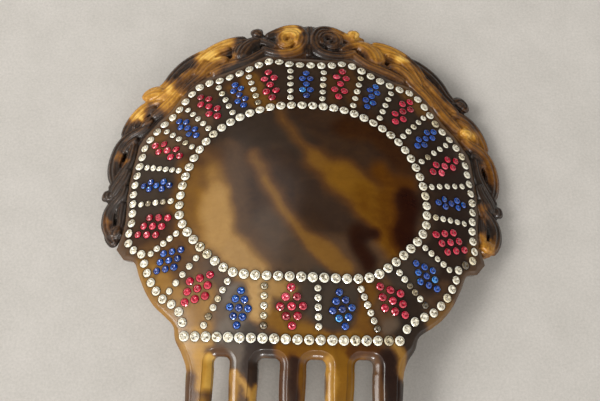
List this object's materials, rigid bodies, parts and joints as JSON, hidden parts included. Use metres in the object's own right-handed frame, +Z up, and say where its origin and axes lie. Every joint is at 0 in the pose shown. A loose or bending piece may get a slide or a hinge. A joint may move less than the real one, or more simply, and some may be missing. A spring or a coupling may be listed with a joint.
{
  "type": "decorative hair comb",
  "caption": "Domed tortoiseshell-pattern hair comb with a carved, pierced scroll border, long rounded teeth and rows and clusters of paste stones.",
  "frame": {"origin": "centre of the comb's footprint on the surface it lies on, back down", "axes": "+Z up out of the domed front face, +Y from the teeth to the top of the crown, +X to the wearer's left as the front is seen with the crown up"},
  "size_m": [0.1216, 0.1738, 0.0226],
  "materials": {
    "celluloid_plate": "polished mottled tortoiseshell celluloid, translucent amber to near-black brown",
    "celluloid_carving": "carved and polished tortoiseshell celluloid, amber gold and dark brown",
    "clear_paste": "cut clear paste, foiled back, bright",
    "red_paste": "cut red paste, foiled back, bright",
    "blue_paste": "cut blue paste, foiled back, bright"
  },
  "bodies": {
    "root": {"base_row": "clear_paste", "blue_cluster_01": "blue_paste", "blue_cluster_03": "blue_paste", "blue_cluster_05": "blue_paste", "blue_cluster_07": "blue_paste", "blue_cluster_09": "blue_paste", "blue_cluster_11": "blue_paste", "blue_cluster_13": "blue_paste", "blue_cluster_15": "blue_paste", "blue_cluster_17": "blue_paste", "blue_cluster_19": "blue_paste", "blue_cluster_21": "blue_paste", "comb_plate": "celluloid_plate", "divider_row_01": "clear_paste", "divider_row_02": "clear_paste", "divider_row_03": "clear_paste", "divider_row_04": "clear_paste", "divider_row_05": "clear_paste", "divider_row_06": "clear_paste", "divider_row_07": "clear_paste", "divider_row_08": "clear_paste", "divider_row_09": "clear_paste", "divider_row_10": "clear_paste", "divider_row_11": "clear_paste", "divider_row_12": "clear_paste", "divider_row_13": "clear_paste", "divider_row_14": "clear_paste", "divider_row_15": "clear_paste", "divider_row_16": "clear_paste", "divider_row_17": "clear_paste", "divider_row_18": "clear_paste", "divider_row_19": "clear_paste", "divider_row_20": "clear_paste", "divider_row_21": "clear_paste", "divider_row_22": "clear_paste", "inner_row": "clear_paste", "outer_row": "clear_paste", "red_cluster_02": "red_paste", "red_cluster_04": "red_paste", "red_cluster_06": "red_paste", "red_cluster_08": "red_paste", "red_cluster_10": "red_paste", "red_cluster_12": "red_paste", "red_cluster_14": "red_paste", "red_cluster_16": "red_paste", "red_cluster_18": "red_paste", "red_cluster_20": "red_paste", "red_cluster_22": "red_paste", "scroll_border": "celluloid_carving"}
  },
  "joints": []
}
